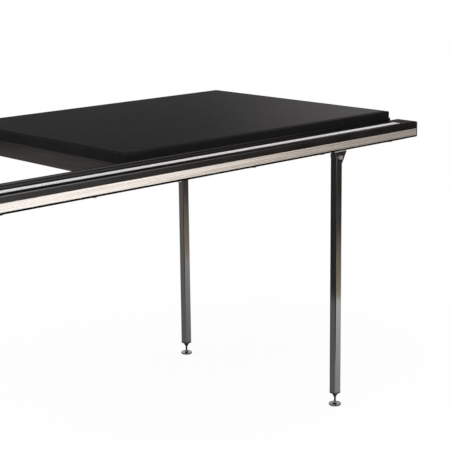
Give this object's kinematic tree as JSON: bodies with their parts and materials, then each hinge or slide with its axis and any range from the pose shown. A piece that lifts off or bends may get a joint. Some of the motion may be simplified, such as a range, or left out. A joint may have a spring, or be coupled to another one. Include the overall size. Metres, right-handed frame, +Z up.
{
  "type": "table saw extension outfeed table",
  "caption": "Laminated side extension table on rails for a table saw, with folding legs and levelling feet.",
  "frame": {"origin": "on the floor, under the middle of the object's box", "axes": "+X along the rails towards the free end, +Y from the operator's side to the back, +Z up"},
  "size_m": [1.524, 0.911, 0.8412],
  "materials": {
    "black_laminate": "satin textured high-pressure laminate",
    "particle_board": "raw board",
    "backer_laminate": "matt",
    "edge_moulding": "fine-grained black moulding",
    "batten_wood": "planed and stained black",
    "powder_coat": "gloss black powder coat",
    "leg_powder_coat": "gloss black powder coat",
    "zinc_plate": "zinc plated",
    "black_screws": "black oxide",
    "brushed_aluminium": "brushed",
    "rule_tape": "white steel rule tape with plain black numbers",
    "black_plastic": "moulded",
    "blackened_steel": "black oxide",
    "foot_plastic": "glossy moulded",
    "black_rubber": "matt"
  },
  "bodies": {
    "table": {"backer_sheet": "backer_laminate", "board_screws": "zinc_plate", "front_angle_rail": "powder_coat", "front_batten": "batten_wood", "front_bracket_bolts": "zinc_plate", "front_bracket_nuts": "zinc_plate", "front_leg_bracket": "leg_powder_coat", "front_mounting_plate": "zinc_plate", "front_nosing": "edge_moulding", "front_pivot_bolt": "zinc_plate", "front_pivot_nut": "zinc_plate", "front_pivot_washers": "zinc_plate", "front_rail_screws": "black_screws", "front_rail_tube": "powder_coat", "front_trim_strip": "brushed_aluminium", "left_cross_batten": "batten_wood", "left_end_cap": "black_plastic", "left_nosing": "edge_moulding", "leg_cross_batten": "batten_wood", "middle_cross_batten": "batten_wood", "rear_angle_rail": "powder_coat", "rear_batten": "batten_wood", "rear_bracket_screws": "zinc_plate", "rear_leg_bracket": "leg_powder_coat", "rear_mounting_plate": "zinc_plate", "rear_nosing": "edge_moulding", "rear_pivot_bolt": "zinc_plate", "rear_pivot_nut": "zinc_plate", "rear_pivot_washers": "zinc_plate", "rear_rail_screws": "zinc_plate", "right_cross_batten": "batten_wood", "right_end_cap": "black_plastic", "right_nosing": "edge_moulding", "rule_tape": "rule_tape", "table_core": "particle_board", "top_laminate": "black_laminate", "tube_bolts": "zinc_plate", "tube_nuts": "zinc_plate"},
    "front_leg": {"front_leg_tube": "leg_powder_coat", "front_leg_head": "black_plastic", "front_leg_foot_plug": "black_plastic", "front_stem_nut": "zinc_plate"},
    "front_foot": {"front_foot_pad": "foot_plastic", "front_foot_sole": "black_rubber"},
    "front_stem": {"front_foot_stem": "blackened_steel"},
    "rear_leg": {"rear_leg_tube": "leg_powder_coat", "rear_leg_head": "black_plastic", "rear_leg_foot_plug": "black_plastic", "rear_stem_nut": "zinc_plate"},
    "rear_foot": {"rear_foot_pad": "foot_plastic", "rear_foot_sole": "black_rubber"},
    "rear_stem": {"rear_foot_stem": "blackened_steel"}
  },
  "joints": [
    {"name": "front_leg_fold", "type": "hinge", "parent": "table", "child": "front_leg", "pos_m": [0.4473, -0.41523, 0.74488], "axis": [0, 1, 0], "range_deg": [0, 88]},
    {"name": "front_foot_slide", "type": "slide", "parent": "front_leg", "child": "front_foot", "axis": [0, 0, -1], "range_m": [-0.0135, 0.025]},
    {"name": "front_foot_turn", "type": "hinge", "parent": "front_foot", "child": "front_stem", "pos_m": [0.4473, -0.41523, 0], "axis": [0, 0, -1], "range_deg": [-4861, 9001]},
    {"name": "rear_leg_fold", "type": "hinge", "parent": "table", "child": "rear_leg", "pos_m": [0.4473, 0.24602, 0.74488], "axis": [0, 1, 0], "range_deg": [0, 88]},
    {"name": "rear_foot_slide", "type": "slide", "parent": "rear_leg", "child": "rear_foot", "axis": [0, 0, -1], "range_m": [-0.0135, 0.025]},
    {"name": "rear_foot_turn", "type": "hinge", "parent": "rear_foot", "child": "rear_stem", "pos_m": [0.4473, 0.24602, 0], "axis": [0, 0, -1], "range_deg": [-4861, 9001]}
  ],
  "couplings": [
    {"joint": "front_foot_turn", "follows": "front_foot_slide", "rad_per_m": 6283.2},
    {"joint": "rear_foot_turn", "follows": "rear_foot_slide", "rad_per_m": 6283.2}
  ]
}
